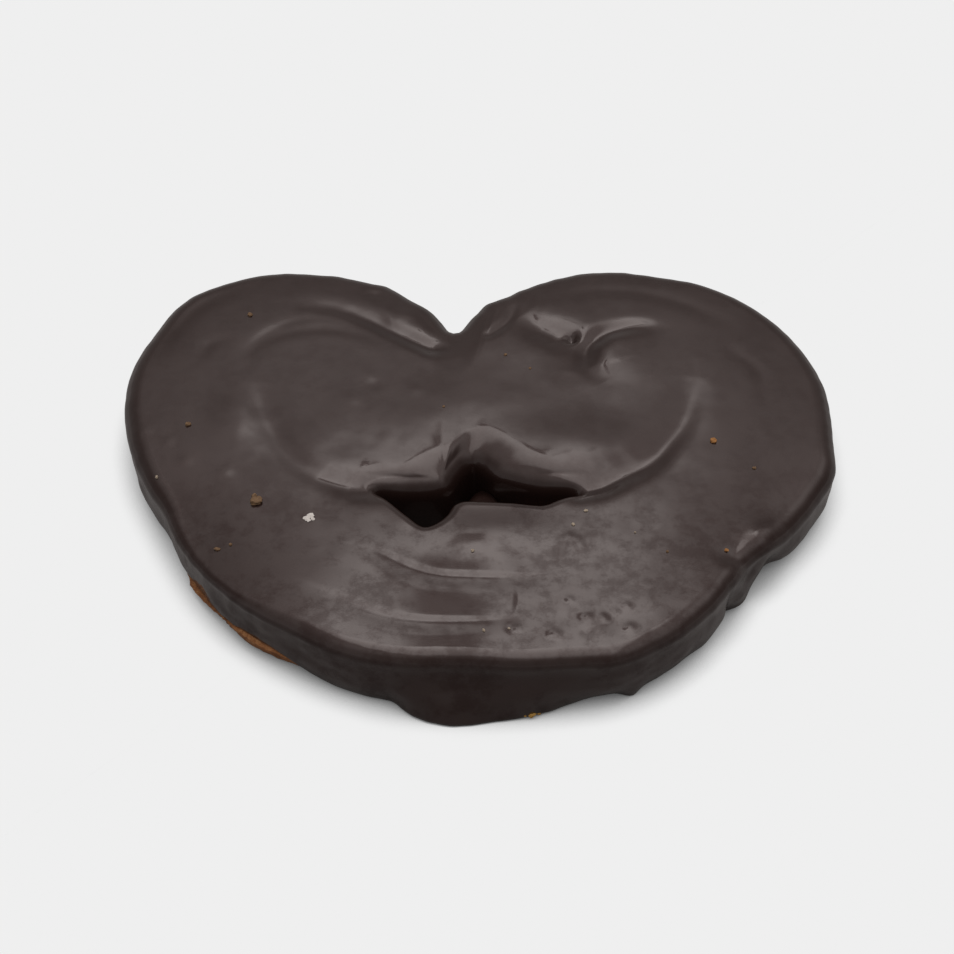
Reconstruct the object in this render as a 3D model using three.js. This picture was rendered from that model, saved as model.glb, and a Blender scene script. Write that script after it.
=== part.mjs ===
// A palmier: a slab of puff pastry rolled in from both ends until the two scrolls meet, dipped in
// dark chocolate. It lies flat. Millimetres, +Z up, the notch of the heart towards +Y.
//
// Both solids are rings round the gap that stays open between the scrolls and the base. A ring is a
// loop of columns, and a column is a list of points from the outer foot, up the side, over the top
// and down into the gap.
import * as THREE from "three";

// ---- driving sizes ----
const THICKNESS = 18; // the flat of the top above the table
const COAT_ON_TOP = 2.4;
const COAT_ON_SIDE = 1.7;
const COAT_CLEARANCE = 0.3; // between chocolate and pastry
const FRONT_SHOULDER = 3.2; // rounding of the outer top edge
const BACK_SHOULDER = 5.2;
const LIP = 3; // rounding of the gap's top edge, along the top
const LIP_DROP = { base: 3, scrolls: 7.5 }; // and down the walls
const LIP_TURN = { from: -0.05, to: 0.1 }; // sines between which it goes from one to the other
const EDGE_FALL = 0.9; // how much the top slopes down to its back edge
const EDGE_FALL_SHARE = 0.35; // of the way in to the gap
const TUCK = 3; // how far the foot draws in under the belly
const TUCK_HEIGHT = 8;

const COLUMNS = 132; // round the coat's outside, twice as many as round the hidden faces
const HIDDEN_COLUMNS = COLUMNS / 2;
const FINE = { side: 4, shoulder: 3, top: 21, lip: 3, wall: 3 };
const COARSE = { side: 3, shoulder: 1, top: 7, lip: 1, wall: 2 };
const UNDERSIDE_ROWS = 2;

// The hidden faces are plainer, and their dents are this much wider.
const HIDDEN_SWELL_SPREAD = 3; // degrees
const HIDDEN_VALLEY_SPREAD = 4; // millimetres
const HIDDEN_PILLOW_SPREAD = 1; // half widths
const HIDDEN_SLOPE_SPREAD = 0.15; // half widths

const degrees = THREE.MathUtils.degToRad;

// ---- outline: two scrolls and a base, each an ellipse, seen from the hub inside the gap ----
const HUB = new THREE.Vector2(-3, -8);
const MASSES = [
  { name: "left scroll", x: -38, y: 16.5, across: 45.7, along: 56.7, turn: 26 },
  { name: "right scroll", x: 36.5, y: 17, across: 50.4, along: 54.7, turn: 4 },
  { name: "base", x: -6, y: -9.5, across: 69.5, along: 57.4, turn: -23 },
];
const MASS_BLEND = 0.7;

// Swells and dents of the rim: degrees round the hub, millimetres out, half width in degrees.
const SWELLS = [
  { at: 3, out: 1.1, wide: 4 },
  { at: 14, out: -1.2, wide: 7 },
  { at: 28, out: -0.5, wide: 8 },
  { at: 57, out: -0.9, wide: 5 },
  { at: 70, out: 0.5, wide: 3 },
  { at: 86, out: 1.8, wide: 2.6 }, // right shoulder of the notch
  { at: 93.5, out: -3, wide: 2.2 }, // the notch itself
  { at: 105, out: 1.5, wide: 2.2 }, // left shoulder of the notch
  { at: 117, out: -0.5, wide: 3 },
  { at: 136, out: 1, wide: 5 },
  { at: 147, out: -0.6, wide: 5 },
  { at: 186, out: 0.7, wide: 12 },
  { at: 231, out: -0.8, wide: 9 },
  { at: 254, out: -0.7, wide: 10 }, // from here to 292 the front is flatter than its ellipse
  { at: 268, out: -3, wide: 11 },
  { at: 281, out: -2.2, wide: 11 },
  { at: 292, out: -1.3, wide: 9 },
  { at: 302, out: 1, wide: 6 },
  { at: 314, out: 0.8, wide: 8 },
  { at: 328, out: 0.9, wide: 8 },
  { at: 338, out: 1.8, wide: 5 }, // knuckle where the base leaves the right scroll
  { at: 346, out: 0.9, wide: 4 },
];

// The gap's wall, clockwise from its left corner, and the point in the gap that sees all of it.
const GAP = [
  [-23.2, -10.8], [-18, -10.3], [-13.8, -10], [-9.8, -9.6], [-7, -8.6], [-5.6, -7], [-4, -3.9],
  [-2.4, -1.3], [-0.9, -0.3], [0.7, -1.3], [2.4, -3], [4.4, -4.8], [7, -6.2], [10.1, -7.4],
  [13.1, -8.4], [16.4, -9.1], [19.8, -9.5], [23.2, -10.6], [21, -12.8], [18, -14.6], [15.7, -15.9],
  [13.4, -16.2], [10.4, -15.5], [6.9, -15.2], [0.7, -14.8], [-3.6, -14.9], [-5.6, -16.2],
  [-7.2, -19.4], [-9.4, -22], [-11.9, -23.2], [-15.4, -20], [-18.9, -16], [-21.4, -12.9],
];
const GAP_HUB = new THREE.Vector2(-5, -11.5);

// The web that crosses the gap low down, from the base's wall to the scrolls. Only that wall lies
// on the near side of "from". Its pastry is lower by coat and reaches a share as far.
const WEB = {
  x: 1.5, halfWidth: 7.5, flank: 1.5, reach: 12, height: 8, slope: 3, from: -13,
  coat: 4, pastryShare: 0.7,
};

// ---- relief of the top: valleys that follow the rolled strip ----
// width is the valley's half width; bank is the height of the roll on its left side.
const VALLEYS = [
  {
    name: "right scroll's edge", width: 3.6, bank: 0.9, depths: [3.4, 2.4, 2, 0.3],
    path: [[24, -10.5], [30, -9], [36, -6.6], [41, -2.6], [45, 3], [47.8, 10], [50.5, 18], [52, 26]],
  },
  {
    name: "right scroll's inner curl", width: 2.6, bank: 0.7, depths: [0.3, 1.6, 2.2, 1.4, 0.3],
    path: [[45, 46.5], [37, 46.5], [30, 44], [26.2, 40], [25.4, 34], [26, 27]],
  },
  {
    name: "right scroll's heart", width: 5, bank: 0, depths: [0.4, 1.3, 1, 0.2],
    path: [[12, 50], [18, 43], [22, 36], [22.5, 29], [22, 22]],
  },
  {
    name: "left scroll's edge", width: 3.8, bank: -0.9, depths: [2.8, 1.8, 1.6, 1.2, 0.4],
    path: [
      [-22, -10.6], [-30, -10.8], [-37, -8.5], [-43, -5], [-47.5, 0], [-50.5, 6], [-52.5, 12],
      [-54.5, 19], [-56.5, 27],
    ],
  },
  {
    name: "left scroll's crown", width: 3, bank: 0, depths: [0.5, 0.8, 0.7, 0.3],
    path: [[-56.5, 30], [-55, 38], [-50, 42.5], [-43, 45], [-35, 45], [-28, 42.5], [-22, 39]],
  },
  {
    name: "left scroll's outer turn", width: 2.8, bank: 0, depths: [0.3, 0.9, 2],
    path: [[-44, 55.5], [-36, 54.3], [-28, 50.6], [-22, 46.5], [-17, 43.4], [-11.5, 41]],
  },
  {
    name: "base's inner layer", width: 2.4, bank: 0, depths: [0.2, 1, 1, 0.3],
    path: [[-30, -30], [-26, -33.5], [-18, -37.5], [-8, -40.3], [2, -41], [12, -40.6], [20, -38.5]],
  },
  {
    name: "base's outer layer", width: 2.4, bank: 0, depths: [0.2, 1, 1, 0.3],
    path: [[-40, -42], [-33, -46], [-26, -49.5], [-17, -52.5], [-8, -53.8], [2, -53.4], [12, -51.5]],
  },
  {
    name: "seam between the scrolls", width: 3, bank: 0, depths: [1.3, 0.5, 0.2, 0.3, 0.9],
    path: [[-1.2, 1], [-2, 12], [-3.4, 24], [-5.4, 34], [-7, 42]],
  },
];
const BANK_WIDTH = 7;
const BANK_ENDS = 0.5; // the bank fades in and out as this power of a half wave

// Round pillows of the dough: place, half widths, height.
const PILLOWS = [
  { x: 24, y: 3, across: 16, along: 9, height: 0.8 }, // foot of the right scroll
  { x: -24, y: 1, across: 17, along: 8, height: 0.8 }, // foot of the left scroll
  { x: 36, y: 35, across: 7, along: 10, height: 1 }, // nose of the right scroll's strip
  { x: 2, y: -27, across: 16, along: 7, height: 0.5 }, // base, behind its first layer
  { x: 66, y: -27, across: 5, along: 5, height: 0.8 }, // knuckle at the cleft
  { x: 60, y: -33, across: 4, along: 3.5, height: -1.6 }, // the cleft
];

// Where the slab thins out towards its rim: place, half widths, height.
const SLOPES = [
  { x: -82, y: -36, across: 24, along: 24, height: -4.8 }, // lower left
  { x: 84, y: -22, across: 20, along: 16, height: -2.5 }, // below the right scroll
];

// ---- where the chocolate ends: height of its lower edge round the foot ----
const EDGE_HEIGHT = 1.3;
const EDGE_RISES = [
  { at: 217.5, out: 3.8, wide: 10 }, // bare pastry shows at the lower left
  { at: 229, out: 2.2, wide: 7 },
  { at: 198, out: 2.4, wide: 10 },
  { at: 346, out: 4.4, wide: 7 }, // and under the right scroll's lifted rim
  { at: 272, out: -0.9, wide: 18 }, // the pool at the front
  { at: 306, out: -0.7, wide: 4 },
  { at: 60, out: 0.9, wide: 7 },
  { at: 140, out: 1, wide: 9 },
];
const GAP_EDGE_HEIGHT = 1.2;
const LEAST_EDGE_HEIGHT = 0.4;

// Places where the foot draws in further than elsewhere, or less.
const TUCKS = [
  { at: 270, out: -2, wide: 12 },
  { at: 300, out: 2, wide: 5 },
  { at: 305.5, out: -1.7, wide: 2 }, // a drip beside the pool
  { at: 318, out: 1, wide: 9 },
  { at: 325, out: -0.8, wide: 4 },
  { at: 333, out: 2.4, wide: 2.5 },
  { at: 339, out: -1.8, wide: 3 }, // foot of the knuckle
  { at: 348, out: 3, wide: 5 },
];

// Where the bare pastry stands out flush with the chocolate above it, and how far below its edge.
const BARE = [{ at: 218, out: COAT_ON_SIDE, wide: 16 }];
const BARE_BELOW_EDGE = 0.7;
const LEAST_BARE_HEIGHT = 0.2;

// Where chocolate ran down and leans out at the front: degrees, millimetres out, half width.
const POOLS = [
  { at: 264, out: 4.7, wide: 6 },
  { at: 273, out: 4, wide: 7 },
  { at: 286, out: 3.4, wide: 5 },
];
const POOL_HEIGHT = 13;
const POOL_FALL = 1.3; // it thins out with height as this power

// ---- how finely curves are read off ----
const OUTLINE_STEPS = 1440;
const GAP_STEPS = 3600;
const GAP_POINTS = 1200;
const GAP_MEAN = 10; // steps to each side that the gap's reach is averaged over
const VALLEY_POINTS = 60;
const SOFTEN = 4; // millimetres along the gap's wall that its directions are averaged over

const clamp = THREE.MathUtils.clamp;
const lerp = THREE.MathUtils.lerp;
const bell = (distance, width) => Math.exp(-((distance / width) ** 2));
const turnBetween = (a, b) => Math.abs(((a - b + 540) % 360) - 180);

// Sum of bells round the hub. spread widens each one.
function round(list, angle, spread = 0) {
  return list.reduce((sum, s) => {
    const away = Math.max(0, turnBetween(THREE.MathUtils.radToDeg(angle), s.at) - spread);
    return sum + s.out * bell(away, s.wide);
  }, 0);
}

// Distance from the hub to the far side of an ellipse, along an angle.
function reachOf(mass, angle) {
  const turn = degrees(mass.turn);
  const away = new THREE.Vector2(Math.cos(angle), Math.sin(angle)).rotateAround({ x: 0, y: 0 }, -turn);
  const from = HUB.clone().sub(mass).rotateAround({ x: 0, y: 0 }, -turn);
  const [ax, ay] = [away.x / mass.across, away.y / mass.along];
  const [fx, fy] = [from.x / mass.across, from.y / mass.along];
  const a = ax * ax + ay * ay;
  const b = ax * fx + ay * fy;
  const c = fx * fx + fy * fy - 1;
  const inside = b * b - a * c;
  return inside > 0 ? (Math.sqrt(inside) - b) / a : 1;
}

function outlineReach(angle, hidden) {
  const reaches = MASSES.map((mass) => reachOf(mass, angle));
  const most = Math.max(...reaches);
  const blended = reaches.reduce((sum, r) => sum + Math.exp((r - most) / MASS_BLEND), 0);
  const swells = hidden ? SWELLS.filter((s) => s.out < 0) : SWELLS;
  return most + MASS_BLEND * Math.log(blended) + round(swells, angle, hidden ? HIDDEN_SWELL_SPREAD : 0);
}

const pointAt = (hub, angle, reach) =>
  new THREE.Vector2(hub.x + reach * Math.cos(angle), hub.y + reach * Math.sin(angle));

// Angles that cut the outline into equal lengths, so that columns are evenly spread.
function evenAngles(count) {
  const angles = Array.from({ length: OUTLINE_STEPS + 1 }, (_, i) => degrees((i / OUTLINE_STEPS) * 360));
  const points = angles.map((angle) => pointAt(HUB, angle, outlineReach(angle, false)));
  const lengths = [0];
  for (let i = 1; i < points.length; i++) {
    lengths.push(lengths[i - 1] + points[i].distanceTo(points[i - 1]));
  }
  let i = 1;
  return Array.from({ length: count }, (_, k) => {
    const wanted = (k / count) * lengths.at(-1);
    while (lengths[i] < wanted) i++;
    const share = (wanted - lengths[i - 1]) / (lengths[i] - lengths[i - 1]);
    return lerp(angles[i - 1], angles[i], share);
  });
}

// The gap's wall as reaches from its hub, a tenth of a degree apart, read off its closed curve.
const gapReaches = (() => {
  const curve = new THREE.CatmullRomCurve3(GAP.map(([x, y]) => new THREE.Vector3(x, y, 0)), true);
  const seen = curve.getPoints(GAP_POINTS).slice(1).map((p) => {
    const away = new THREE.Vector2(p.x - GAP_HUB.x, p.y - GAP_HUB.y);
    return { step: (away.angle() / (2 * Math.PI)) * GAP_STEPS, reach: away.length() };
  });
  seen.sort((a, b) => a.step - b.step);
  const [first, last] = [seen[0], seen.at(-1)];
  seen.unshift({ step: last.step - GAP_STEPS, reach: last.reach });
  seen.push({ step: first.step + GAP_STEPS, reach: first.reach });
  let i = 1;
  return Array.from({ length: GAP_STEPS }, (_, step) => {
    while (seen[i].step < step) i++;
    const share = (step - seen[i - 1].step) / (seen[i].step - seen[i - 1].step);
    return lerp(seen[i - 1].reach, seen[i].reach, share);
  });
})();

function gapReach(angle) {
  const first = Math.round((angle / (2 * Math.PI)) * GAP_STEPS) - GAP_MEAN + GAP_STEPS;
  const near = Array.from({ length: 2 * GAP_MEAN + 1 }, (_, k) => gapReaches[(first + k) % GAP_STEPS]);
  return near.reduce((sum, r) => sum + r, 0) / near.length;
}

const valleys = VALLEYS.map((valley) => {
  const curve = new THREE.CatmullRomCurve3(valley.path.map(([x, y]) => new THREE.Vector3(x, y, 0)));
  return { ...valley, points: curve.getPoints(VALLEY_POINTS) };
});

// A value that changes along a list of stops, at a share of its length.
function along(stops, share) {
  const place = clamp(share, 0, 1) * (stops.length - 1);
  const i = Math.min(Math.floor(place), stops.length - 2);
  return lerp(stops[i], stops[i + 1], place - i);
}

// How far a valley lowers the top at a point. spread widens it.
function valleyAt(valley, x, y, spread) {
  const { points } = valley;
  let best = 0;
  let least = Infinity;
  points.forEach((p, i) => {
    const away = (p.x - x) ** 2 + (p.y - y) ** 2;
    if (away < least) [least, best] = [away, i];
  });
  const distance = Math.sqrt(least);
  const drop = along(valley.depths, best / (points.length - 1)) *
    bell(Math.max(0, distance - spread), valley.width);
  if (!valley.bank || spread) return drop;
  const before = points[Math.max(best - 1, 0)];
  const after = points[Math.min(best + 1, points.length - 1)];
  const side = Math.sign((after.x - before.x) * (y - before.y) - (after.y - before.y) * (x - before.x));
  const ends = Math.max(0, Math.sin((Math.PI * best) / (points.length - 1))) ** BANK_ENDS;
  const onBank = side * Math.sign(valley.bank) > 0;
  return drop - (onBank ? Math.abs(valley.bank) * ends * bell(distance, BANK_WIDTH) : 0);
}

function topHeight(x, y, hidden) {
  const spread = hidden ? HIDDEN_VALLEY_SPREAD : 0;
  let height = THICKNESS - (hidden ? COAT_ON_TOP : 0);
  for (const valley of valleys) height -= valleyAt(valley, x, y, spread);
  for (const p of PILLOWS) {
    if (hidden && p.height > 0) continue;
    const away = Math.hypot((x - p.x) / p.across, (y - p.y) / p.along);
    height += p.height * bell(Math.max(0, away - (hidden ? HIDDEN_PILLOW_SPREAD : 0)), 1);
  }
  for (const s of SLOPES) {
    const away = Math.hypot((x - s.x) / s.across, (y - s.y) / s.along);
    height += s.height * bell(Math.max(0, away - (hidden ? HIDDEN_SLOPE_SPREAD : 0)), 1);
  }
  return height;
}

// Outward normals of a closed loop of points.
function normals(loop) {
  return loop.map((_, i) => {
    const before = loop[(i - 1 + loop.length) % loop.length];
    const after = loop[(i + 1) % loop.length];
    return new THREE.Vector2(after.y - before.y, before.x - after.x).normalize();
  });
}

// The same directions, each one averaged along the loop so that offsets don't cross.
function softened(directions, loop) {
  const steps = loop.map((p, i) => p.distanceTo(loop[(i + 1) % loop.length]));
  const places = [0];
  for (const step of steps) places.push(places.at(-1) + step);
  const whole = places.pop();
  return directions.map((_, i) => {
    const sum = new THREE.Vector2();
    directions.forEach((direction, j) => {
      const away = Math.abs(places[i] - places[j]);
      const weight = bell(Math.min(away, whole - away), SOFTEN) * (steps.at(j - 1) + steps[j]);
      sum.addScaledVector(direction, weight);
    });
    return sum.normalize();
  });
}

// How far the side draws in at a height.
const tuckAt = (angle, z) => (TUCK + round(TUCKS, angle)) * Math.max(0, 1 - z / TUCK_HEIGHT) ** 2;

const coatEdge = (angle) =>
  Math.max(LEAST_EDGE_HEIGHT, EDGE_HEIGHT + round(EDGE_RISES, angle));

// One column of a skin: points from the outer lower edge up, over the top and down into the gap.
// The coat's inner face lies under its outer one, and the pastry's a further inset under that.
function columnOf({ angle, rim, rimOut, gap, gapOut, rows, inset, hidden }) {
  const side = hidden ? COAT_ON_SIDE : 0;
  const towardsBack = Math.sin(angle) / 2 + 0.5;
  const points = [];
  const put = (p, z) => points.push(new THREE.Vector3(p.x, p.y, z));
  const onRim = (inwards) => rim.clone().addScaledVector(rimOut, -inwards);
  const onGap = (inwards) => gap.clone().addScaledVector(gapOut, inwards);
  const top = (p) => topHeight(p.x, p.y, hidden) - inset;

  const fall = (share) => EDGE_FALL * towardsBack * Math.max(0, 1 - share / EDGE_FALL_SHARE) ** 2;

  const wholeShoulder = lerp(FRONT_SHOULDER, BACK_SHOULDER, towardsBack);
  const crest = onRim(side + wholeShoulder);
  const shoulder = wholeShoulder - inset;
  const shoulderFoot = top(crest) - fall(0) - shoulder;
  for (let k = 0; k < rows.side; k++) {
    const z = lerp(coatEdge(angle), shoulderFoot, k / rows.side);
    const pool = hidden ? 0 : round(POOLS, angle) * Math.max(0, 1 - z / POOL_HEIGHT) ** POOL_FALL;
    put(onRim(side + inset + tuckAt(angle, z) - pool), z);
  }
  for (let k = 0; k < rows.shoulder; k++) {
    const bend = ((k / rows.shoulder) * Math.PI) / 2;
    put(onRim(side + inset + shoulder * (1 - Math.cos(bend))), shoulderFoot + shoulder * Math.sin(bend));
  }

  const brink = onGap(side + LIP);
  for (let k = 0; k <= rows.top; k++) {
    const p = crest.clone().lerp(brink, k / rows.top);
    put(p, top(p) - fall(k / rows.top));
  }

  const scrollSide = clamp((Math.sin(angle) - LIP_TURN.from) / (LIP_TURN.to - LIP_TURN.from), 0, 1);
  const drop = lerp(LIP_DROP.base, LIP_DROP.scrolls, scrollSide) - inset;
  const wallTop = top(brink) - drop;
  for (let k = 1; k <= rows.lip; k++) {
    const bend = ((1 - k / rows.lip) * Math.PI) / 2;
    const back = side + inset + (LIP - inset) * (1 - Math.cos(bend));
    put(onGap(back), wallTop + drop * Math.sin(bend));
  }
  for (let k = 1; k <= rows.wall; k++) {
    const z = lerp(wallTop, GAP_EDGE_HEIGHT, k / rows.wall);
    const p = onGap(side + inset);
    p.y += webAt(p, z, hidden);
    put(p, z);
  }
  return points;
}

// How far the web carries the base's wall across the gap, at a height.
function webAt(p, z, hidden) {
  if (p.y > WEB.from) return 0;
  const across = Math.max(0, 1 - ((p.x - WEB.x) / WEB.halfWidth) ** 2);
  const height = hidden ? WEB.height - WEB.coat : WEB.height;
  const reach = hidden ? WEB.reach * WEB.pastryShare : WEB.reach;
  return reach * across ** WEB.flank * clamp((height + WEB.slope - z) / WEB.slope, 0, 1);
}

// The columns of a skin. Every one is set out on the finest spacing, so that faces stay parallel.
function skin(count, rows, hidden, inset = 0) {
  const angles = evenAngles(COLUMNS);
  const rims = angles.map((angle) => pointAt(HUB, angle, outlineReach(angle, hidden)));
  const gaps = angles.map((angle) => pointAt(GAP_HUB, angle, gapReach(angle)));
  const rimsOut = normals(rims);
  const gapsOut = softened(normals(gaps), gaps);
  const columns = angles.map((angle, i) =>
    columnOf({
      angle, rows, inset, hidden,
      rim: rims[i], rimOut: rimsOut[i], gap: gaps[i], gapOut: gapsOut[i],
    }));
  return columns.filter((_, i) => i % (COLUMNS / count) === 0);
}

// Triangles between two closed loops of equally many points. Each pair is split along its shorter
// diagonal, so that faces set one under the other are split alike.
function stitchEven(first, second, apart) {
  return first.flatMap((a, i) => {
    const b = first[(i + 1) % first.length];
    const c = second[i];
    const d = second[(i + 1) % second.length];
    return apart(a, d) < apart(b, c) ? [a, b, d, a, d, c] : [a, b, c, b, d, c];
  });
}

// Triangles from a closed loop to one of half as many points.
function stitchHalved(first, second) {
  return second.flatMap((c, i) => {
    const [a, b] = [first[2 * i], first[2 * i + 1]];
    const after = first[(2 * i + 2) % first.length];
    const d = second[(i + 1) % second.length];
    return [a, b, c, b, after, d, b, d, c];
  });
}

function turnedOver(triangles) {
  return triangles.map((_, k) => triangles[k - (k % 3) + ((3 - (k % 3)) % 3)]);
}

// Closes a list of loops, the last one back to the first, into one solid.
function ring(loops) {
  const points = loops.flat();
  const apart = (i, j) => points[i].distanceToSquared(points[j]);
  let used = 0;
  const numbered = loops.map((loop) => loop.map(() => used++));
  const triangles = numbered.flatMap((loop, i) => {
    const next = numbered[(i + 1) % numbered.length];
    if (loop.length === next.length) return stitchEven(loop, next, apart);
    return loop.length > next.length ? stitchHalved(loop, next) : turnedOver(stitchHalved(next, loop));
  });
  const geometry = new THREE.BufferGeometry().setFromPoints(points);
  geometry.setIndex(triangles);
  geometry.computeVertexNormals();
  return geometry;
}

// Turns columns into loops, one for each row.
const loopsOf = (columns) => columns[0].map((_, row) => columns.map((column) => column[row]));

function pastryGeometry() {
  const loops = loopsOf(skin(HIDDEN_COLUMNS, COARSE, true, COAT_CLEARANCE));
  const angles = evenAngles(COLUMNS).filter((_, i) => i % 2 === 0);
  const outwards = normals(loops[0]);
  const footAt = (height) => loops[0].map((p, i) => {
    const z = height(angles[i]);
    const out = round(BARE, angles[i]) + tuckAt(angles[i], p.z) - tuckAt(angles[i], z);
    return new THREE.Vector3(p.x + out * outwards[i].x, p.y + out * outwards[i].y, z);
  });
  const knee = footAt((angle) => Math.max(coatEdge(angle) - BARE_BELOW_EDGE, LEAST_BARE_HEIGHT));
  const outer = footAt(() => 0);
  const inner = loops.at(-1).map((p) => new THREE.Vector3(p.x, p.y, 0));
  const underside = Array.from({ length: UNDERSIDE_ROWS + 1 }, (_, k) =>
    inner.map((p, i) => p.clone().lerp(outer[i], k / UNDERSIDE_ROWS)));
  return ring([knee, ...loops, ...underside]);
}

function coatGeometry() {
  const outside = loopsOf(skin(COLUMNS, FINE, false));
  const inside = loopsOf(skin(HIDDEN_COLUMNS, COARSE, true));
  return ring([...outside, ...inside.reverse()]);
}

function piece(name, geometry, colour, roughness) {
  const material = new THREE.MeshStandardMaterial({ color: colour, roughness, metalness: 0 });
  const mesh = new THREE.Mesh(geometry, material);
  mesh.name = name;
  return mesh;
}

const palmier = new THREE.Group();
palmier.add(piece("pastry", pastryGeometry(), 0xb4783c, 0.8));
palmier.add(piece("chocolate_coat", coatGeometry(), 0x3a2c29, 0.4));

// The middle of the footprint goes to the origin.
const middle = new THREE.Box3().setFromObject(palmier).getCenter(new THREE.Vector3());
palmier.children.forEach((mesh) => mesh.geometry.translate(-middle.x, -middle.y, 0));

export default palmier;
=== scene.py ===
import math

import bmesh
import bpy
import numpy as np
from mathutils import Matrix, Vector


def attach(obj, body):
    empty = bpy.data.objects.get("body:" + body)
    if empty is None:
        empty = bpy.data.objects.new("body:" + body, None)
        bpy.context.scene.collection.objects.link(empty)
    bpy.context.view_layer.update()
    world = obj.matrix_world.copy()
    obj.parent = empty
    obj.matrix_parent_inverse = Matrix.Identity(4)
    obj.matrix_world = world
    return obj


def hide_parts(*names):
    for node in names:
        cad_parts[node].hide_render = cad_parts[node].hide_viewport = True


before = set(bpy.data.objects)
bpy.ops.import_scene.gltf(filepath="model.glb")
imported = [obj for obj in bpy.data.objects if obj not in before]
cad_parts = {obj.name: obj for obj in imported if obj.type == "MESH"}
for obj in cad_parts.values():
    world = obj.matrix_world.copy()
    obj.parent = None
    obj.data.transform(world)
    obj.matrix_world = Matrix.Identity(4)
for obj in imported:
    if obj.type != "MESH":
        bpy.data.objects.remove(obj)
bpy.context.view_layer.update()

# Sizes below are in millimetres and degrees, with +Y towards the notch of the heart.
# The rim is laid out round one hub and the gap round another, then the footprint's middle goes
# to the origin.
hub = np.array([-3.0, -8.0])
gapHub = np.array([-5.0, -11.5])
footprintMiddle = np.array([-0.09, 1.236, 0.0])


def toFrame(points):
    return (np.asarray(points, float) - footprintMiddle) / 1000


def bell(distance, width):
    return np.exp(-((distance / width) ** 2))


def blendTo(first, second, share):
    return first + (second - first) * share


def smoothStep(share):
    share = np.clip(share, 0, 1)
    return share * share * (3 - 2 * share)


class Rumple:  # smooth seeded noise, about -1 to 1
    gain = 1.7

    def __init__(self, seed):
        draw = np.random.default_rng(seed)
        self.order = np.tile(draw.permutation(256), 3)
        slopes = draw.normal(size=(256, 3))
        self.slopes = slopes / np.linalg.norm(slopes, axis=1, keepdims=True)

    def at(self, points, size):
        points = np.asarray(points, float)
        if points.shape[-1] == 2:
            points = np.concatenate([points, np.zeros_like(points[..., :1])], -1)
        place = points / size
        cell = np.floor(place).astype(int)
        part = place - cell
        ease = part**3 * (part * (part * 6 - 15) + 10)
        total = 0
        for corner in np.ndindex(2, 2, 2):
            spot = (cell + corner) & 255
            first = self.order[spot[..., 0]]
            second = self.order[first + spot[..., 1]]
            pick = self.order[second + spot[..., 2]]
            lean = ((part - corner) * self.slopes[pick]).sum(-1)
            weight = np.where(np.array(corner) == 1, ease, 1 - ease).prod(-1)
            total = total + lean * weight
        return total * self.gain


rumple = Rumple(11)

camera = {
    "lens": 88.75,
    "sensor": 36,
    "nearest": 0.01,  # metres
    "tilt": 46,
    "place": (0.09, -404.05, 399.0),
}

cameraData = bpy.data.cameras.new("camera")
cameraData.lens = camera["lens"]
cameraData.sensor_width = camera["sensor"]
cameraData.clip_start = camera["nearest"]
cameraObject = bpy.data.objects.new("camera", cameraData)
cameraObject.location = Vector(camera["place"]) / 1000
cameraObject.rotation_euler = (math.radians(camera["tilt"]), 0, 0)
bpy.context.scene.collection.objects.link(cameraObject)
bpy.context.scene.camera = cameraObject
print("camera made")

# The outline is two scrolls and a base, each an ellipse seen from the hub, with swells round it.
outline = {
    "masses": [  # x, y, across, along, turn
        (-38, 16.5, 45.7, 56.7, 26),
        (36.5, 17, 50.4, 54.7, 4),
        (-6, -9.5, 69.5, 57.4, -23),
    ],
    "blend": 0.7,
    "swells": [  # degrees round the hub, out, half width in degrees
        (3, 1.1, 4),
        (14, -1.2, 7),
        (28, -0.5, 8),
        (57, -0.9, 5),
        (70, 0.5, 3),
        (86, 1.8, 2.6),
        (93.5, -3, 2.2),
        (105, 1.5, 2.2),
        (117, -0.5, 3),
        (136, 1, 5),
        (147, -0.6, 5),
        (186, 0.7, 12),
        (231, -0.8, 9),
        (254, -0.7, 10),
        (268, -3, 11),
        (281, -2.2, 11),
        (292, -1.3, 9),
        (302, 1, 6),
        (314, 0.8, 8),
        (328, 0.9, 8),
        (338, 1.8, 5),
        (346, 0.9, 4),
    ],
    "hiddenSpread": 3,  # how much wider the hollows are for the faces under the coat
    "gap": [
        (-23.2, -10.8), (-18, -10.3), (-13.8, -10), (-9.8, -9.6), (-7, -8.6), (-5.6, -7), (-4, -3.9),
        (-2.4, -1.3), (-0.9, -0.3), (0.7, -1.3), (2.4, -3), (4.4, -4.8), (7, -6.2), (10.1, -7.4),
        (13.1, -8.4), (16.4, -9.1), (19.8, -9.5), (23.2, -10.6), (21, -12.8), (18, -14.6),
        (15.7, -15.9), (13.4, -16.2), (10.4, -15.5), (6.9, -15.2), (0.7, -14.8), (-3.6, -14.9),
        (-5.6, -16.2), (-7.2, -19.4), (-9.4, -22), (-11.9, -23.2), (-15.4, -20), (-18.9, -16),
        (-21.4, -12.9),
    ],
    "gapSoften": 1,  # degrees to both sides that the gap's reach is averaged over
    "steps": 7200,
}


def turnBetween(a, b):
    return np.abs((a - b + 540) % 360 - 180)


def roundSum(bells, angles, spread=0):
    turned = np.degrees(angles)
    return sum(
        out * bell(np.maximum(0, turnBetween(turned, at) - spread), wide) for at, out, wide in bells
    )


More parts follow.
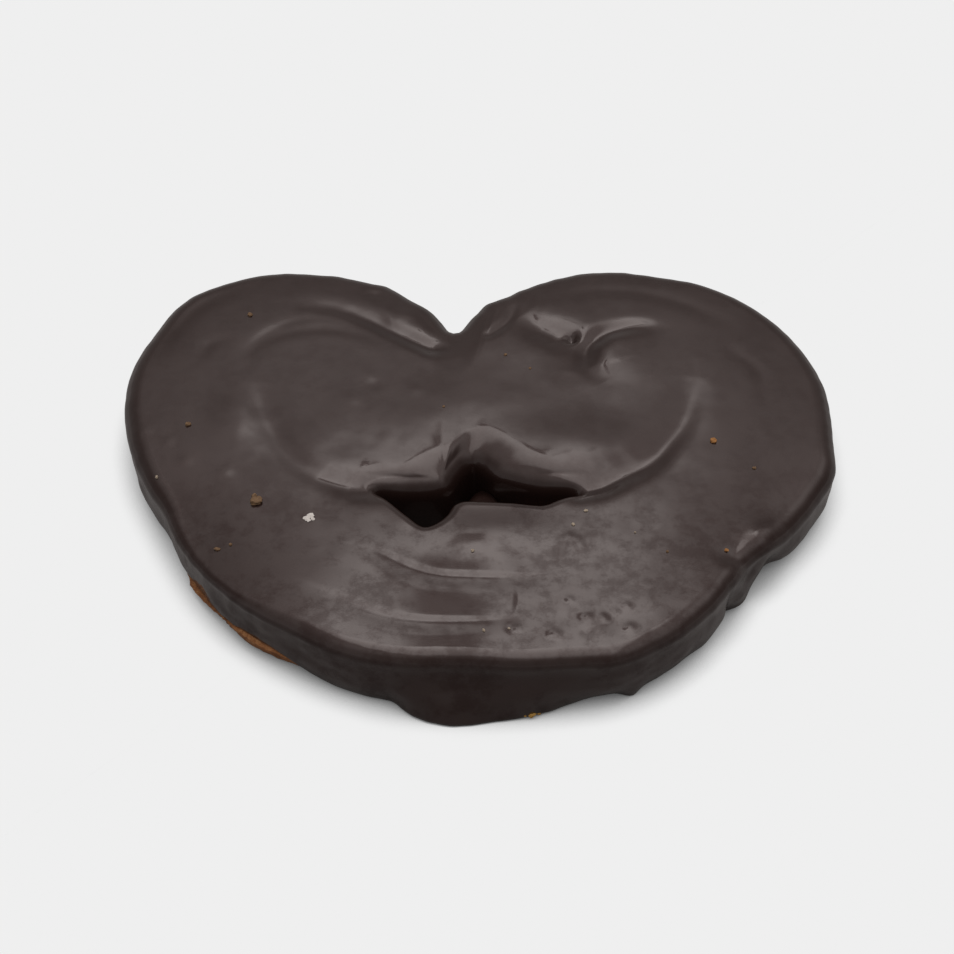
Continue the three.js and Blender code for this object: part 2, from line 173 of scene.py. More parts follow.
def reachOf(mass, angles):
    x, y, across, along, turn = mass
    turn = math.radians(turn)
    fromX, fromY = hub[0] - x, hub[1] - y
    ax, ay = np.cos(angles - turn) / across, np.sin(angles - turn) / along
    fx = (fromX * math.cos(turn) + fromY * math.sin(turn)) / across
    fy = (fromY * math.cos(turn) - fromX * math.sin(turn)) / along
    a, b, c = ax**2 + ay**2, ax * fx + ay * fy, fx**2 + fy**2 - 1
    inside = b * b - a * c
    return np.where(inside > 0, (np.sqrt(np.maximum(inside, 0)) - b) / a, 1)


def outlineReach(angles, hidden):
    reaches = np.stack([reachOf(mass, angles) for mass in outline["masses"]])
    most = reaches.max(0)
    blended = most + outline["blend"] * np.log(np.exp((reaches - most) / outline["blend"]).sum(0))
    swells = [s for s in outline["swells"] if s[1] < 0 or not hidden]
    return blended + roundSum(swells, angles, outline["hiddenSpread"] if hidden else 0)


def pointAt(centre, angles, reach):
    reach = np.broadcast_to(reach, angles.shape)
    return centre + np.stack([np.cos(angles), np.sin(angles)], -1) * reach[..., None]


# Angles round the hub whose points are evenly spaced along the rim.
def evenAngles(count):
    angles = np.linspace(0, 2 * math.pi, outline["steps"] + 1)
    points = pointAt(hub, angles, outlineReach(angles, False))
    lengths = np.concatenate([[0], np.linalg.norm(np.diff(points, axis=0), axis=1).cumsum()])
    return np.interp(np.arange(count) / count * lengths[-1], lengths, angles)


# A smooth path through points, with the same number of steps after each of them.
def smoothPath(points, closed=False, each=12):
    points = np.asarray(points, float)
    if closed:
        around = np.concatenate([points[-1:], points, points[:2]])
    else:
        around = np.concatenate([[2 * points[0] - points[1]], points, [2 * points[-1] - points[-2]]])
    made = []
    for p0, p1, p2, p3 in zip(around, around[1:], around[2:], around[3:]):
        d0, d1, d2 = (math.sqrt(np.linalg.norm(q - p)) for p, q in ((p0, p1), (p1, p2), (p2, p3)))
        t1 = ((p1 - p0) / d0 - (p2 - p0) / (d0 + d1) + (p2 - p1) / d1) * d1
        t2 = ((p2 - p1) / d1 - (p3 - p1) / (d1 + d2) + (p3 - p2) / d2) * d1
        t = np.arange(each)[:, None] / each
        bend = 3 * (p2 - p1) - 2 * t1 - t2
        made.append(p1 + t1 * t + bend * t**2 + (2 * (p1 - p2) + t1 + t2) * t**3)
    made = np.concatenate(made)
    return made if closed else np.concatenate([made, points[-1:]])


def gapReach(angles):
    curve = smoothPath(outline["gap"], closed=True, each=60) - gapHub
    turned = np.arctan2(curve[:, 1], curve[:, 0]) % (2 * math.pi)
    order = turned.argsort()
    reach = np.hypot(*curve.T)[order]
    near = np.radians(np.linspace(-1, 1, 21)) * outline["gapSoften"]
    return np.interp(angles[..., None] + near, turned[order], reach, period=2 * math.pi).mean(-1)


# Outward directions of a closed loop.
def outwards(loop, span):
    ahead, behind = np.roll(loop, -span, 0), np.roll(loop, span, 0)
    out = np.stack([ahead[:, 1] - behind[:, 1], behind[:, 0] - ahead[:, 0]], -1)
    return out / np.linalg.norm(out, axis=1, keepdims=True)


# The same, each one averaged along the loop so that offsets don't cross.
def softened(directions, loop, width):
    steps = np.linalg.norm(np.roll(loop, -1, 0) - loop, axis=1)
    places = np.concatenate([[0], steps.cumsum()])
    away = np.abs(places[:-1, None] - places[:-1])
    weights = bell(np.minimum(away, places[-1] - away), width) * (steps + np.roll(steps, 1))
    mixed = weights @ directions
    return mixed / np.linalg.norm(mixed, axis=1, keepdims=True)


# The relief of the top. Strokes follow the rolled strip: half widths on the left and right side of
# the path, bank raises the left side (or the right one, where it is negative), and depths change
# along the path.
relief = {
    "thickness": 18,
    "strokeReach": 3,  # in half widths
    "strokeBlend": 2,  # where the left half width turns into the right one
    "bankWidth": 7,
    "bankRise": (6, 0.35),  # how wide its slope is, and what share of it is risen on the path
    "bankEnds": (0.3, 0.5),  # shares of the path where the bank comes and goes
    # how much wider the hollows are for the faces under the coat, in half widths but for strokes
    "hiddenSpreads": {"strokes": 4, "pillows": 1, "slopes": 0.15, "dents": 2},
    "strokes": [
        {  # right scroll's edge
            "widths": (5.2, 3.4),
            "bank": 0.22,
            "depths": (2.6, 1.6, 1, 0.55, 0.05),
            "path": [
                (24, -11), (28.6, -9.9), (32, -7.9), (35.3, -5.8), (38.8, -3.6), (42, -0.4),
                (44.6, 3.5), (47.6, 8.2), (49.6, 13), (52, 21), (53, 27),
            ],
        },
        {  # right scroll's inner curl
            "widths": (2.8, 2.4),
            "bank": 0.35,
            "depths": (0.1, 0.8, 1.3, 1.1, 0.4, 0.05),
            "path": [(45, 46), (37, 45.6), (31, 43), (27.8, 39), (26.9, 34), (27.4, 30), (31, 25)],
        },
        {  # right scroll's heart
            "widths": (4.5, 4.5),
            "bank": 0,
            "depths": (0.2, 0.9, 1.1, 0.5, 0.1),
            "path": [(11, 50.5), (16, 45.5), (20.5, 42), (23, 36), (22.5, 29)],
        },
        {  # left scroll's edge
            "widths": (3.8, 3.8),
            "bank": -0.2,
            "depths": (1.7, 0.7, 0.4, 0.36, 0.36, 0.25, 0.03),
            "path": [
                (-22, -11), (-27, -11.6), (-32, -10), (-36.8, -7.4), (-41, -4), (-44.2, 0.4),
                (-47, 5.9), (-50, 12.3), (-52.5, 19.8), (-53.5, 25),
            ],
        },
        {  # left scroll's crown
            "widths": (2.6, 2.2),
            "bank": 0,
            "depths": (0.05, 0.14, 0.16, 0.05),
            "path": [
                (-56.5, 30), (-55, 38), (-50, 42.5), (-43, 45), (-35, 45), (-28, 42.5), (-22, 39),
            ],
        },
        {  # left scroll's outer turn
            "widths": (2.8, 2.6),
            "bank": 0,
            "depths": (0.1, 0.35, 0.65, 0.85, 1.1),
            "path": [
                (-44, 54.5), (-36, 53.3), (-28, 49.6), (-22, 45.4), (-17, 42), (-11.5, 38.5),
            ],
        },
        {  # base's inner layer
            "widths": (1.2, 3),
            "bank": 0,
            "depths": (0.02, 0.09, 0.13, 0.14, 0.02),
            "path": [
                (-28, -30.4), (-22, -33), (-17.3, -36), (-13, -38.4), (-8, -39.9), (-1.6, -40.4),
                (9.6, -40.6), (19, -39.6),
            ],
        },
        {  # base's outer layer
            "widths": (1.2, 3),
            "bank": 0,
            "depths": (0.02, 0.08, 0.13, 0.13, 0.1, 0.02),
            "path": [
                (-40, -41.6), (-34.9, -44.4), (-30, -47), (-24.7, -50), (-19, -52.4), (-12.5, -53.7),
                (-5.9, -54), (2, -53.8), (10, -53),
            ],
        },
        {  # seam between the scrolls
            "widths": (4.6, 5.4),
            "bank": 0,
            "depths": (0.35, 0.2, 0.1, 0.08, 0.25),
            "path": [(-1, 2), (-1.6, 12), (-3.2, 24), (-5.4, 34), (-7, 42)],
        },
    ],
    "pillows": [  # x, y, half widths across and along, height
        (24, 3, 16, 9, 0.6),
        (-5, 13, 14, 15, 0.55),
        (-20, 12, 22, 15, 0.2),
        (36, 34, 8, 10, 0.35),
        (2, -27, 16, 7, 0.4),
        (66.5, -25.5, 4, 3.5, 0.8),
        (60, -33, 4, 3.5, -1.6),
        (-58, 12, 6, 9, 0.25),
        (-12, -20, 5, 4, 0.3),
    ],
    "slopes": [  # thinner rims, given as the pillows are
        (-82, -36, 24, 24, -4.8),
        (84, -22, 20, 16, -2.5),
    ],
    "fineStrokes": [  # what the solids leave out
        {  # crease under the knuckle
            "widths": (1.3, 1.1),
            "depths": (0.1, 0.9, 1.3, 1.3),
            "path": [(59.5, -33), (63, -31.4), (67, -29.6), (71, -28)],
        },
        {  # beside the notch
            "widths": (1.4, 1.4),
            "depths": (0.1, 0.4, 0.3),
            "path": [(9.5, 54), (8, 49), (5, 45), (3, 43)],
        },
        {  # round the left scroll, near its rim
            "widths": (2.6, 2.6),
            "depths": (0.05, 0.2, 0.2, 0.05),
            "path": [(-61, 62), (-70, 55), (-76, 46), (-79.5, 35)],
        },
        {
            "widths": (2, 2),
            "depths": (0.03, 0.14, 0.03),
            "path": [(-62, 42), (-66.5, 39), (-68, 34)],
        },
        {  # round the right scroll
            "widths": (2.4, 2.4),
            "depths": (0.02, 0.12, 0.12, 0.02),
            "path": [(18, 58), (34, 60.5), (50, 56.5), (64, 46.5)],
        },
        {
            "widths": (1.8, 1.8),
            "depths": (0.03, 0.12, 0.03),
            "path": [(62, 38), (68.5, 30), (69, 20)],
        },
        {  # raised loop on the base
            "widths": (1.3, 1.3),
            "depths": (-0.02, -0.08, -0.02),
            "path": [(18.7, -35), (19.3, -30.3), (21.1, -28), (22.9, -29.6), (24, -34)],
        },
        {  # inside the left scroll's crown
            "widths": (1.6, 1.6),
            "depths": (0.02, 0.1, 0.02),
            "path": [(-57, 36), (-52, 44), (-42, 49), (-30, 47)],
        },
        {  # raised streak on the base
            "widths": (0.7, 0.7),
            "depths": (-0.01, -0.03, -0.01),
            "path": [(8.9, -42.9), (9.3, -46), (9.1, -49), (8.6, -51.5)],
        },
        {  # raised line along the lower left rim
            "widths": (1.5, 1.5),
            "depths": (-0.04, -0.3, -0.34, -0.3, -0.04),
            "path": [
                (-77, -5.9), (-73, -17.6), (-68.5, -28.5), (-63, -37.8), (-57.3, -45.5), (-51, -51),
            ],
        },
    ],
    "dents": [  # x, y, half width, height
        (23.6, 42.3, 1.4, -1.8),
        (-25.9, 59.2, 1.6, -0.16),
        (-17.9, 51.3, 2.6, 0.16),
        (-24.8, 24.1, 2, -0.1),
        (-15, 21.9, 2, 0.07),
        (-16.9, 8.4, 2, 0.02),
        (-21.1, 4.6, 2, 0.02),
        (-30.2, 18.7, 2.2, 0.06),
        (-55, 10, 5, 0.05),
        (-58, 17, 4, 0.05),
        (-59, -5.7, 1.8, 0.07),
        (-68.7, -2, 1.8, 0.08),
        (-73.3, 4.6, 1.5, 0.08),
        (-79.2, 8.7, 1.8, 0.08),
        (65.5, -27.4, 1.8, 0.35),
        (72.8, -24.5, 1.1, -0.2),
        (17, -57.5, 1.3, 0.1),
        (20.6, -47.3, 1, 0.06),
        (24.2, -52.4, 1.1, 0.1),
        (27.9, -52.7, 1.2, 0.12),
        (30.4, -50.9, 1, 0.07),
        (33.1, -49.1, 0.9, 0.09),
        (33.5, -55.6, 1.2, 0.12),
        (24, -57, 1.6, -0.07),
        (8.6, -56, 1.3, 0.08),
        (30, -53.5, 4, -0.1),
        (20, -53, 3, -0.08),
    ],
    "mottle": [(24, 0.09), (10, 0.03), (4.5, 0.01)],  # size, height
    "calm": {"place": (-2, -46), "radius": 24, "share": 0.8},  # where the front is smoother
}


# Signed distance from a path, positive on its left, and the share of the path it is nearest to.
def nearest(path, points):
    start, run = path[:-1], np.diff(path, axis=0)
    away = points[:, None] - start
    share = np.clip((away * run).sum(-1) / (run**2).sum(-1), 0, 1)
    off = away - share[..., None] * run
    squared = (off**2).sum(-1)
    best = squared.argmin(1)
    row = np.arange(len(points))
    side = run[best, 0] * off[row, best, 1] - run[best, 1] * off[row, best, 0]
    distance = np.sqrt(squared[row, best]) * np.where(side < 0, -1, 1)
    return distance, (best + share[row, best]) / len(start)


def alongStops(stops, share):
    return np.interp(share, np.linspace(0, 1, len(stops)), stops)


# How much a stroke raises each point, with a spread for the faces that stay under it.
def strokeAt(stroke, points, spread):
    path = smoothPath(stroke["path"])
    height = np.zeros(len(points))
    bank = stroke.get("bank", 0)
    widest = max(stroke["widths"]) + (relief["bankWidth"] if bank else 0)
    reach = relief["strokeReach"] * widest + spread
    inside = ((points > path.min(0) - reach) & (points < path.max(0) + reach)).all(1)
    if not inside.any():
        return height
    distance, share = nearest(path, points[inside])
    depth = alongStops(stroke["depths"], share)
    left, right = stroke["widths"]
    if spread:
        away = np.maximum(0, abs(distance) - spread)
        height[inside] = -depth * bell(away, max(left, right))
        return height
    width = blendTo(right, left, smoothStep(distance / relief["strokeBlend"] + 0.5))
    raised = -depth * bell(distance, width)
    if bank:
        slope, risen = relief["bankRise"]
        first, last = relief["bankEnds"]
        ends = smoothStep(share / first) * smoothStep((1 - share) / last)
        onBank = smoothStep(np.sign(bank) * distance / slope + risen)
        raised += abs(bank) * ends * onBank * bell(distance, relief["bankWidth"])
    height[inside] = raised
    return height


def topHeight(points, hidden):
    shape = points.shape[:-1]
    points = points.reshape(-1, 2)
    height = np.full(len(points), float(relief["thickness"]))
    spreads = relief["hiddenSpreads"]
    if hidden:
        height -= coat["onTop"]
    for stroke in relief["strokes"]:
        height += strokeAt(stroke, points, spreads["strokes"] if hidden else 0)
    for kind in ("pillows", "slopes", "dents"):
        spread = spreads[kind] if hidden else 0
        for x, y, across, *along, rise in relief[kind]:
            if hidden and rise > 0:
                continue
            along = along[0] if along else across
            away = np.hypot((points[:, 0] - x) / across, (points[:, 1] - y) / along)
            height += rise * bell(np.maximum(0, away - spread), 1)
    if not hidden:
        for stroke in relief["fineStrokes"]:
            height += strokeAt(stroke, points, 0)
        calm = relief["calm"]
        away = np.linalg.norm(points - calm["place"], axis=1)
        uneven = 1 - calm["share"] * bell(away, calm["radius"])
        for size, rise in relief["mottle"]:
            height += rise * uneven * rumple.at(points, size)
    return height.reshape(shape)


coat = {
    "onTop": 2.4,
    "onSide": 1.7,
    "clearance": 0.3,
    "frontShoulder": 3.2,
    "backShoulder": 5.2,
    "wideShoulders": [(205, -1.6, 18), (355, 0.3, 12)],
    "lip": 3,
    "lipDrops": (3, 5.2),  # down the walls of the base and of the scrolls
    "lipTurn": (-0.05, 0.1),
    "lipSoften": 4,
    "lipFall": 1.5,  # how far the scrolls' top slopes down to the lip, over how many millimetres
    "lipFallWidth": 7.5,
    "lipStart": 28,  # degrees of the lip's round that this slope takes the place of
    "lipEnds": (24, 6),  # left out at both ends of the gap
    "outwardSpan": 1 / 132,  # share of the rim that its outward directions are taken over
    # size, height, more of it around the notch, how far below zero it lies
    "rimKnobs": (3.6, 0.12, 0.22, 0.6),
    "notch": (88, 30),  # degrees round the hub, half width
    "edgeFall": 0.9,
    "edgeFallShare": 0.35,
    "tuck": 3,
    "tuckHeight": 8,
    "tucks": [
        (270, -2, 12), (300, 2, 5), (305.5, -1.7, 2), (318, 1, 9), (325, -0.8, 4), (333, 2.4, 2.5),
        (339, -1.8, 3), (348, 3, 5),
    ],
    "edgeHeight": 1.3,
    "leastEdge": 0.4,
    "edgeRises": [
        (217.5, 4.5, 10), (229, 2.4, 7), (198, 2.4, 10), (346, 4.4, 7), (272, -0.9, 18),
        (306, -0.7, 4), (60, 0.9, 7), (140, 1, 9),
    ],
    "ragged": {"height": 0.35, "size": 2.6, "round": 60, "places": [(212, 1, 30), (346, 0.6, 9)]},
    "gapEdge": 1.2,
    "web": {
        "x": 1.5,
        "halfWidth": 7.5,
        "from": -13,
        "reach": 12,
        "hiddenReach": 0.7,  # share of it that the faces under the coat reach
        "taper": 1.5,
        "height": 8,
        "slope": 3,
        "coat": 4,
    },
    # degrees and how far the pool at the front reaches out there
    "pool": [
        (253.5, 0), (255, 0.7), (256.5, 2.1), (259, 3.8), (262, 4.9), (265, 5.4), (268, 5.4),
        (272, 4.9), (277, 4), (282, 3.7), (288.5, 2.6), (292, 1.2), (295, 0.3), (297, 0),
    ],
    "poolHeight": 13,
    "poolFall": 1.3,
    # upright folds of the wall: degrees, out, half width, and the share of the height they start at
    "folds": [
        (333, -1.1, 2.2, 0.95),
        (338.5, 1.0, 2.6, 0.9),
        (345.5, -1.8, 2.4, 1),
        (352, 0.8, 3.5, 0.7),
    ],
    "foldGrowth": 0.5,
    "lumps": {
        "round": 62,
        "upright": 1.6,
        "sizes": [(9, 0.34), (4, 0.12)],  # size, height
        "inwards": 0.36,
        "fade": 0.7,
        "calm": (268, 16, 0.75),  # degrees, half width and how much smoother
    },
    "columns": 560,
    "rows": {"side": 24, "shoulder": 10, "top": 96, "lip": 14, "wall": 16},
    "hiddenRows": {"side": 3, "shoulder": 2, "top": 8, "lip": 2, "wall": 2},
    "hiddenDrop": 0.2,
    "dropFrom": 6,
    "footBead": {"rows": 4, "drop": 0.5, "least": 0.05},
    "gapBead": {"rows": 3, "drop": 0.6},
}


def tuckAt(angles, z):
    depth = coat["tuck"] + roundSum(coat["tucks"], angles)
    return depth * np.maximum(0, 1 - z / coat["tuckHeight"]) ** 2


def coatEdge(angles):
    ragged = coat["ragged"]
    uneven = ragged["height"] * rumple.at(pointAt(hub, angles, ragged["round"]), ragged["size"])
    uneven = uneven * roundSum(ragged["places"], angles)
    rise = roundSum(coat["edgeRises"], angles)
    return np.maximum(coat["leastEdge"], coat["edgeHeight"] + rise + uneven)


def poolAt(angles, z):
    at, out = np.array(coat["pool"]).T
    reach = np.interp(np.degrees(angles) % 360, at, out)
    return reach * np.maximum(0, 1 - z / coat["poolHeight"]) ** coat["poolFall"]


# How far the low web in the middle of the gap reaches in from the base.
def webAt(points, z, hidden):
    web = coat["web"]
    across = np.maximum(0, 1 - ((points[..., 0] - web["x"]) / web["halfWidth"]) ** 2)
    height = web["height"] - (web["coat"] if hidden else 0)
    reach = web["reach"] * (web["hiddenReach"] if hidden else 1)
    pulled = reach * across ** web["taper"] * smoothStep((height + web["slope"] - z) / web["slope"])
    return np.where(points[..., 1] > web["from"], 0, pulled)


# Lumps and folds of the side: fades out towards the edge and the shoulder.
def wallRelief(angles, z, shoulderFoot):
    height = np.clip(z / shoulderFoot, 0, 1)
    look = coat["lumps"]
    around = np.stack([*pointAt(hub, angles, look["round"]).T, z * look["upright"]], -1)
    lumps = sum(rise * rumple.at(around, size) for size, rise in look["sizes"]) - look["inwards"]
    calmAt, calmWidth, calmShare = look["calm"]
    lumps = lumps * (1 - calmShare * bell(turnBetween(np.degrees(angles), calmAt), calmWidth))
    folded = 0
    for at, out, wide, start in coat["folds"]:
        below = smoothStep((start - height) / coat["foldGrowth"])
        folded = folded + out * bell(turnBetween(np.degrees(angles), at), wide) * below
    return lumps * np.sin(math.pi * height) ** look["fade"] + folded


# The points of a skin, row by row from the outer foot over the top and down into the gap.
def skinRows(columns, rows, hidden, inset=0):
    angles = evenAngles(columns)
    rimReach = outlineReach(angles, hidden)
    if not hidden:
        size, most, notchMost, below = coat["rimKnobs"]
        notchAt, notchWidth = coat["notch"]
        uneven = most + notchMost * bell(turnBetween(np.degrees(angles), notchAt), notchWidth)
        rimReach = rimReach + uneven * (rumple.at(pointAt(hub, angles, rimReach), size) - below)
    rim = pointAt(hub, angles, rimReach)
    gap = pointAt(gapHub, angles, gapReach(angles))
    rimOut = outwards(rim, round(columns * coat["outwardSpan"]))
    gapOut = softened(outwards(gap, 1), gap, coat["lipSoften"])
    side = coat["onSide"] if hidden else 0
    back = np.sin(angles) / 2 + 0.5
    whole = blendTo(coat["frontShoulder"], coat["backShoulder"], back)
    whole = whole + (0 if hidden else roundSum(coat["wideShoulders"], angles))
    crest = rim - rimOut * (side + whole)[:, None]
    brink = gap + gapOut * (side + coat["lip"])
    share = np.linspace(0, 1, rows["top"] + 1)[:, None]
    top = blendTo(crest[None], brink[None], share[..., None])
    fall = coat["edgeFall"] * back * np.maximum(0, 1 - share / coat["edgeFallShare"]) ** 2
    first, last = coat["lipTurn"]
    scrollSide = np.clip((np.sin(angles) - first) / (last - first), 0, 1)
    endAt, endWidth = coat["lipEnds"]
    fallSide = scrollSide * (1 - bell(np.abs(brink[:, 0]) - endAt, endWidth))
    if not hidden:
        toBrink = (1 - share) * np.linalg.norm(brink - crest, axis=1)
        slope = np.maximum(0, 1 - toBrink / coat["lipFallWidth"]) ** 2
        fall = fall + coat["lipFall"] * fallSide * slope
    topZ = topHeight(top, hidden) - inset - fall
    shoulder = whole - inset
    shoulderFoot = topZ[0] - shoulder
    made = []

    def put(base, out, reach, z):
        reach = np.broadcast_to(reach, angles.shape)
        z = np.broadcast_to(z, angles.shape)
        made.append(np.concatenate([base + out * reach[:, None], z[:, None]], 1))

    for k in range(rows["side"]):
        z = blendTo(coatEdge(angles), shoulderFoot, k / rows["side"])
        pool = 0 if hidden else poolAt(angles, z) + wallRelief(angles, z, shoulderFoot)
        put(rim, rimOut, pool - side - inset - tuckAt(angles, z), z)
    for k in range(rows["shoulder"]):
        bend = k / rows["shoulder"] * math.pi / 2
        reach = -side - inset - shoulder * (1 - math.cos(bend))
        put(rim, rimOut, reach, shoulderFoot + shoulder * math.sin(bend))
    made.extend(np.concatenate([top, topZ[..., None]], -1))
    lip = coat["lip"] - inset
    drop = blendTo(*coat["lipDrops"], scrollSide) - inset
    start = np.zeros(len(angles)) if hidden else np.radians(coat["lipStart"]) * fallSide
    wallTop = topZ[-1] - drop
    for k in range(1, rows["lip"] + 1):
        bend = blendTo(start, math.pi / 2, k / rows["lip"])
        reach = side + inset + lip * (1 - np.sin(bend)) / (1 - np.sin(start))
        put(gap, gapOut, reach, wallTop + drop * np.cos(bend) / np.cos(start))
    for k in range(1, rows["wall"] + 1):
        z = blendTo(wallTop, coat["gapEdge"], k / rows["wall"])
        put(gap, gapOut, side + inset, z)
        made[-1][:, 1] += webAt(made[-1][:, :2], z, hidden)
    return np.array(made)


# The skin under the coat, lowered a little wherever it lies high.
def hiddenSkin(columns, drop, inset=0):
    skin = skinRows(columns, coat["hiddenRows"], True, inset)
    skin[..., 2] = np.where(skin[..., 2] > coat["dropFrom"], skin[..., 2] - drop, skin[..., 2])
    return skin


# Half round from one lower edge to the other, hanging below both.
def bead(first, last, count, drop):
    turn = np.linspace(0, math.pi, count + 2)[1:-1, None, None]
    loops = blendTo(first[None], last[None], (1 - np.cos(turn)) / 2)
    loops[..., 2] -= np.sin(turn[..., 0]) * drop
    return list(loops)


def coatLoops(outer):
    inner = hiddenSkin(coat["columns"], coat["hiddenDrop"])
    foot, gap = coat["footBead"], coat["gapBead"]
    footDrop = np.minimum(foot["drop"], outer[0][:, 2] - foot["least"])
    return [
        *bead(inner[0], outer[0], foot["rows"], footDrop[None]),
        *outer,
        *bead(outer[-1], inner[-1], gap["rows"], gap["drop"]),
        *inner[::-1],
    ]


def makePiece(name, points, faces, material, smooth):
    mesh = bpy.data.meshes.new(name)
    mesh.from_pydata(toFrame(points), [], faces)
    mesh.polygons.foreach_set("use_smooth", np.full(len(faces), smooth))
    mesh.update()
    piece = bpy.data.objects.new(name, mesh)
    piece.data.materials.append(material)
    bpy.context.scene.collection.objects.link(piece)
    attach(piece, "root")
    return piece


# A closed surface through loops that follow each other, the last one joined to the first.
def ringPiece(name, loops, material):
    loops = np.array(loops)
    rows, columns = loops.shape[:2]
    number = np.arange(rows * columns).reshape(rows, columns)
    after, across = np.roll(number, -1, 1), np.roll(number, -1, 0)
    faces = np.stack([number, after, np.roll(across, -1, 1), across], -1).reshape(-1, 4)
    return makePiece(name, loops.reshape(-1, 3), faces.tolist(), material, True)


class Value:  # a socket that takes part in sums
    def __init__(self, nodes, socket):
        self.nodes, self.socket = nodes, socket

    def math(self, operation, *values):
        return self.nodes.math(operation, *values)

    def __add__(self, other):
        return self.math("ADD", self, other)

    def __sub__(self, other):
        return self.math("SUBTRACT", self, other)

    def __rsub__(self, other):
        return self.math("SUBTRACT", other, self)

    def __mul__(self, other):
        return self.math("MULTIPLY", self, other)

    def __truediv__(self, other):
        return self.math("DIVIDE", self, other)

    def __rtruediv__(self, other):
        return self.math("DIVIDE", other, self)

    def __abs__(self):
        return self.math("ABSOLUTE", self)

    __radd__ = __add__
    __rmul__ = __mul__


class Nodes:  # the node tree of a material or a world
    def __init__(self, owner):
        owner.use_nodes = True
        self.tree = owner.node_tree
        self.tree.nodes.clear()

    def math(self, operation, *values):
        return self.add("ShaderNodeMath", {"operation": operation}, *values)

    # Settings are set first, then inputs by order or by name. out picks the output.
    def add(self, kind, settings=None, *values, out=0, **named):
        node = self.tree.nodes.new(kind)
        for key, value in (settings or {}).items():
            if key == "stops":
                self.setStops(node, value)
            else:
                setattr(node, key, value)
        for key, value in [*enumerate(values), *named.items()]:
            self.feed(node.inputs[key if isinstance(key, int) else key.replace("_", " ")], value)
        return Value(self, node.outputs[out]) if len(node.outputs) else node

    def feed(self, socket, value):
        if isinstance(value, Value):
            self.tree.links.new(value.socket, socket)
        else:
            socket.default_value = value

    def setStops(self, node, stops):
        elements = node.color_ramp.elements
        while len(elements) < len(stops):
            elements.new(0.5)
        for element, (place, colour) in zip(elements, stops):
            element.position = place
            element.color = (*colour, 1)

    def noise(self, size, detail, roughness):
        place = self.add("ShaderNodeTexCoord", out="Object")
        settings = {"Scale": 1 / size, "Detail": detail, "Roughness": roughness}
        return self.add("ShaderNodeTexNoise", None, place, **settings)

    def mixColour(self, share, first, second):
        mixed = self.add("ShaderNodeMix", {"data_type": "RGBA"}, share, out=2)
        for key, value in ((6, first), (7, second)):  # its two colours
            self.feed(mixed.socket.node.inputs[key], value if isinstance(value, Value) else (*value, 1))
        return mixed

    def scaled(self, colour, share):
        return self.add("ShaderNodeVectorMath", {"operation": "SCALE"}, colour, Scale=share)

    def ramp(self, value, stops):
        return self.add("ShaderNodeValToRGB", {"stops": stops}, value)

    def smooth(self, value, low, high):  # 0 below low, 1 above high
        settings = {"interpolation_type": "SMOOTHSTEP"}
        return self.add("ShaderNodeMapRange", settings, value, From_Min=low, From_Max=high)

    def bump(self, height, distance, strength):
        return self.add("ShaderNodeBump", Height=height, Distance=distance, Strength=strength)

    def output(self, shader, kind="ShaderNodeOutputMaterial"):
        self.add(kind, None, shader)


chocolateLook = {
    "dark": (0.015, 0.008, 0.0068),
    "light": (0.025, 0.0135, 0.0112),
    "roughness": (0.3, 0.42),
    "specular": 0.25,
    "tint": (1, 0.75, 0.74),
    "skin": (0.5, 1.0),  # how much of the glossy skin is there, in dull and in shiny patches
    "skinRoughness": 0.065,
    "skinEdge": (0.4, 0.55),
    "evenSkin": (-0.03, 0.0, 0.65),  # from and to in metres towards the notch, how much more even
    "evenShare": 0.7,
    # size in metres, detail and roughness of each noise, then how much of it is in the patches
    "patches": (0.012, 4, 0.6),
    "feather": (0.0035, 5, 0.7),
    "grain": (0.0006, 2, 0.6),
    "patchShares": (0.45, 0.45, 0.1),
    "ripple": (0.003, 4, 0.55),
    "rippleBump": (0.00006, 0.6),
    "refraction": 1.5,
}


def chocolateMaterial():
    look = chocolateLook
    material = bpy.data.materials.new("chocolate")
    nodes = Nodes(material)
    patches, feather, grain, ripple = (
        nodes.noise(*look[name]) for name in ("patches", "feather", "grain", "ripple")
    )
    low, high = look["roughness"]
    dull, shiny = look["skin"]
    ofPatches, ofFeather, ofGrain = look["patchShares"]
    mixed = patches * ofPatches + feather * ofFeather + grain * ofGrain
    patchy = nodes.smooth(mixed, *look["skinEdge"])
    place = nodes.add("ShaderNodeTexCoord", out="Object")
    towardsNotch = nodes.add("ShaderNodeSeparateXYZ", None, place, out=1)
    start, end, even = look["evenSkin"]
    skin = patchy + (look["evenShare"] - patchy) * nodes.smooth(towardsNotch, start, end) * even
    shader = nodes.add(
        "ShaderNodeBsdfPrincipled",
        Base_Color=nodes.mixColour(patches, look["dark"], look["light"]),
        Roughness=feather * (high - low) + low,
        IOR=look["refraction"],
        Specular_IOR_Level=look["specular"],
        Specular_Tint=(*look["tint"], 1),
        Normal=nodes.bump(ripple, *look["rippleBump"]),
        Coat_Weight=skin * (shiny - dull) + dull,
        Coat_Roughness=look["skinRoughness"],
        Coat_IOR=look["refraction"],
    )
    nodes.output(shader)
    return material


pastryLook = {
    "pale": (0.56, 0.3, 0.13),
    "baked": (0.32, 0.13, 0.045),
    "burnt": (0.1, 0.038, 0.015),
    "stops": (0.32, 0.5, 0.68),  # where burnt, baked and pale lie
    "blotch": (0.004, 4, 0.6),
    "flake": (0.0008, 3, 0.6),
    "blotchShare": 0.6,
    "roughness": 0.75,
    "flakeBump": (0.0003, 0.6),
}


